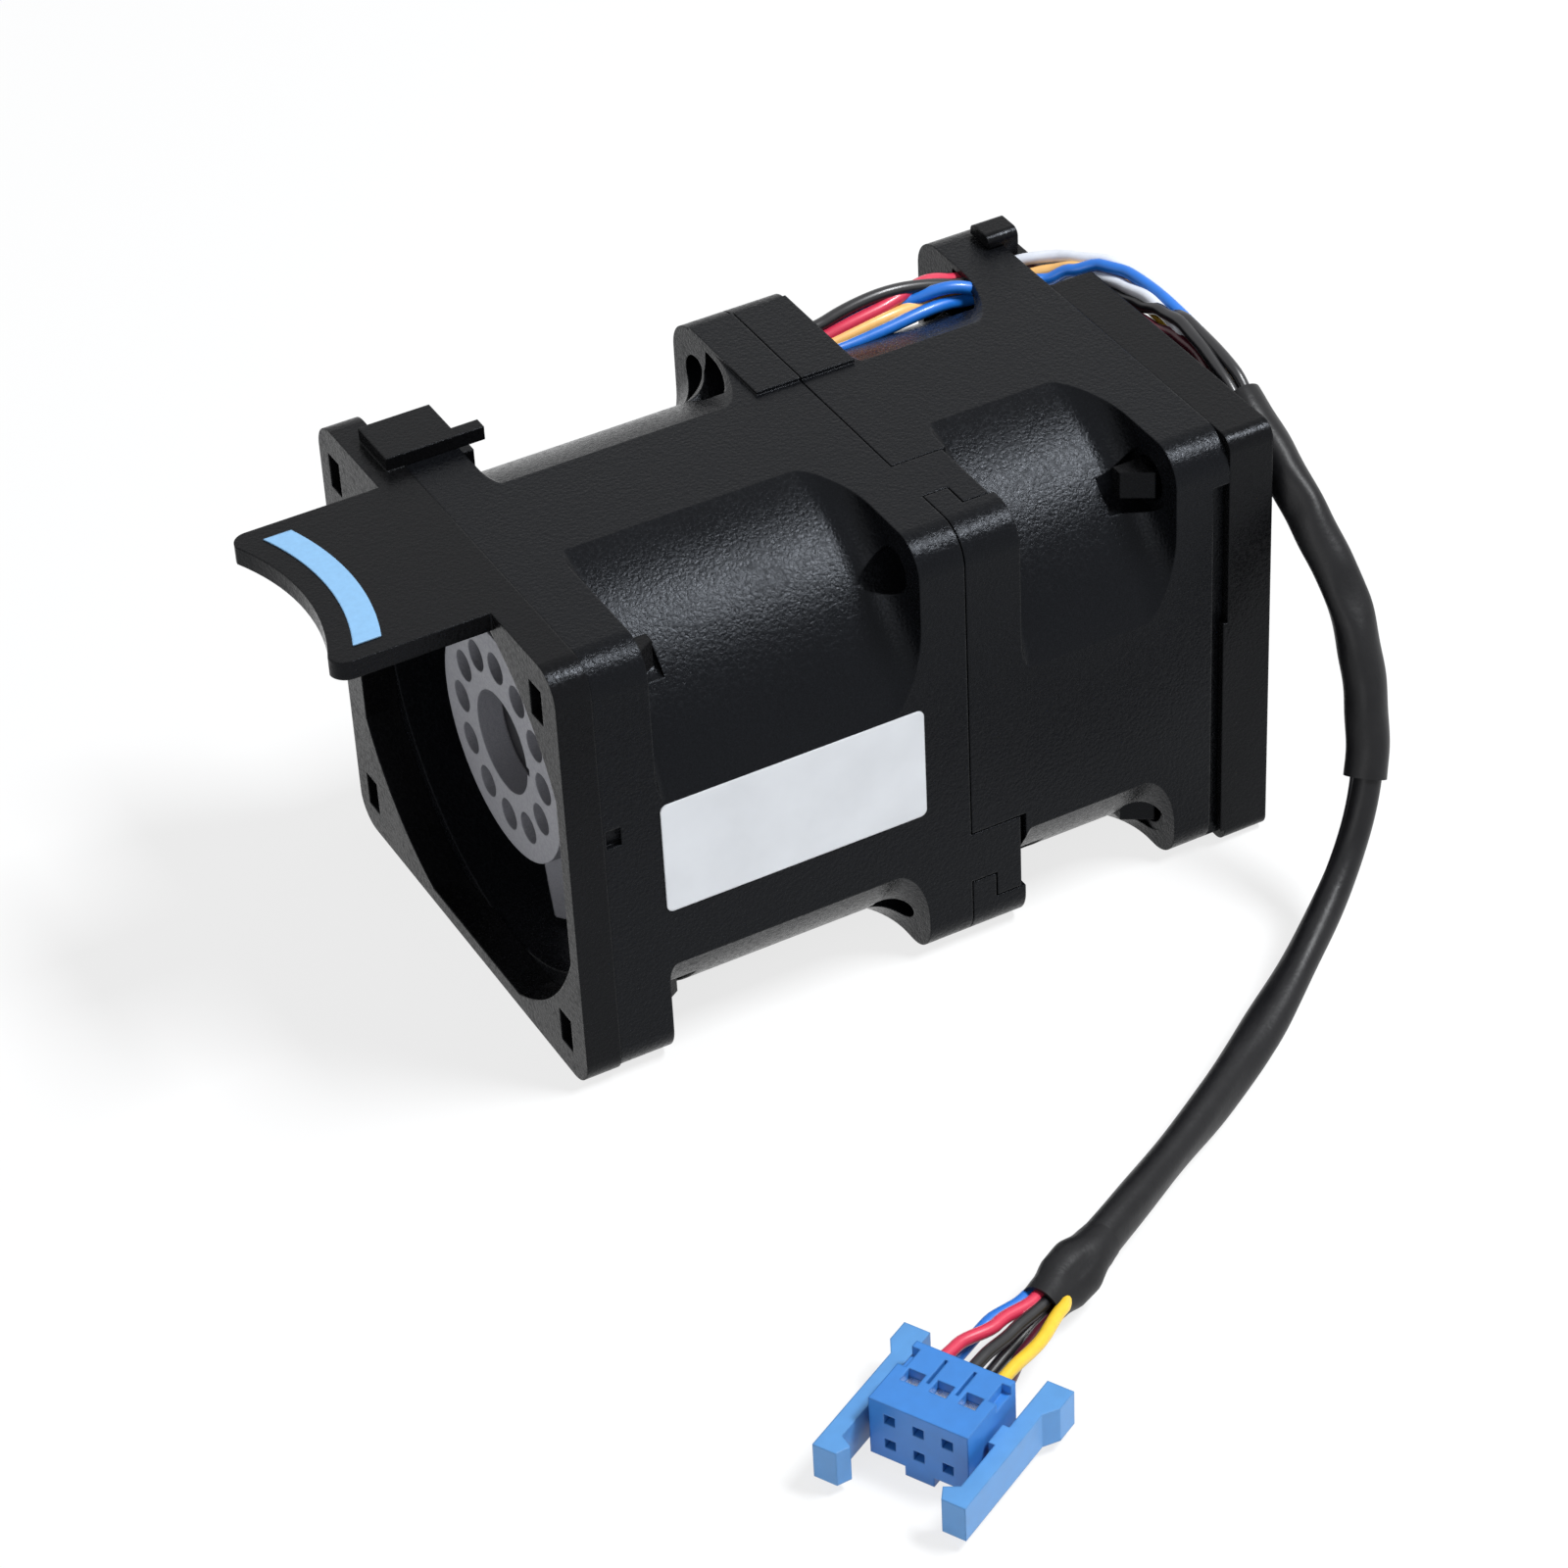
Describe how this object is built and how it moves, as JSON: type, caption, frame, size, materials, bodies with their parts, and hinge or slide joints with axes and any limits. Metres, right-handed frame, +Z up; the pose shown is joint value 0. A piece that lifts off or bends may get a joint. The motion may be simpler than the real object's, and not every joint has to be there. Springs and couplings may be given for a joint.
{
  "type": "server fan module",
  "caption": "Dual counter-rotating axial fan module for a server: two square fan frames in line, a clip-on bracket at each end, and a sleeved cable to a latching connector.",
  "frame": {"origin": "middle of the underside of the front fan's joint flange, straight below the fan axis", "axes": "+X along the fan axis from inlet to outlet, +Y away from the label side, +Z up"},
  "size_m": [0.0815, 0.099, 0.0412],
  "materials": {
    "glass_filled_black": "black glass-filled plastic with a fine glittery grain",
    "bracket_black": "satin black plastic with a fine speckle",
    "impeller_black": "dark grey-black satin plastic",
    "touch_blue": "light blue print",
    "label_white": "satin silver-white label film, bare",
    "motor_brass": "turned brass",
    "bearing_steel": "polished bearing steel",
    "board_green": "green circuit board",
    "core_steel": "stacked silicon steel",
    "winding_copper": "enamelled copper wire",
    "yoke_steel": "drawn steel",
    "magnet_dark": "bonded ferrite",
    "wire_pvc": "glossy coloured wire insulation",
    "sleeve_black": "satin black heat-shrink sleeve",
    "connector_blue": "blue nylon",
    "contact_tin": "tin-plated contacts"
  },
  "bodies": {
    "module": {"front_fan_frame": "glass_filled_black", "rear_fan_frame": "glass_filled_black", "front_bracket": "bracket_black", "rear_bracket": "bracket_black", "touch_mark": "touch_blue", "rating_label": "label_white", "front_bearing_tube": "motor_brass", "front_bearings": "bearing_steel", "front_circuit_board": "board_green", "front_stator_core": "core_steel", "front_windings": "winding_copper", "rear_bearing_tube": "motor_brass", "rear_bearings": "bearing_steel", "rear_circuit_board": "board_green", "rear_stator_core": "core_steel", "rear_windings": "winding_copper", "lead_bundle": "wire_pvc", "loose_wires": "wire_pvc", "outer_sleeve": "sleeve_black", "cable_sleeve": "sleeve_black", "sleeve_end": "sleeve_black", "connector_wires": "wire_pvc", "connector_housing": "connector_blue", "connector_contacts": "contact_tin"},
    "front_rotor": {"front_impeller": "impeller_black", "front_rotor_yoke": "yoke_steel", "front_rotor_magnet": "magnet_dark", "front_shaft_bush": "motor_brass", "front_shaft_clip": "bearing_steel", "front_shaft": "bearing_steel"},
    "rear_rotor": {"rear_impeller": "impeller_black", "rear_rotor_yoke": "yoke_steel", "rear_rotor_magnet": "magnet_dark", "rear_shaft_bush": "motor_brass", "rear_shaft_clip": "bearing_steel", "rear_shaft": "bearing_steel"},
    "left_latch": {"latch_left": "connector_blue"},
    "right_latch": {"latch_right": "connector_blue"}
  },
  "joints": [
    {"name": "front_spin", "type": "hinge", "parent": "module", "child": "front_rotor", "pos_m": [0, 0, 0.02], "axis": [1, 0, 0], "continuous": true},
    {"name": "rear_spin", "type": "hinge", "parent": "module", "child": "rear_rotor", "pos_m": [0, 0, 0.02], "axis": [1, 0, 0], "continuous": true},
    {"name": "left_latch_hinge", "type": "hinge", "parent": "module", "child": "left_latch", "pos_m": [-0.0269, -0.07214, 0.0025], "axis": [0, 0, 1], "range_deg": [-1, 6], "stiffness_Nm_per_rad": 0.05},
    {"name": "right_latch_hinge", "type": "hinge", "parent": "module", "child": "right_latch", "pos_m": [-0.0313, -0.06406, 0.0025], "axis": [0, 0, 1], "range_deg": [-6, 1], "stiffness_Nm_per_rad": 0.05}
  ]
}
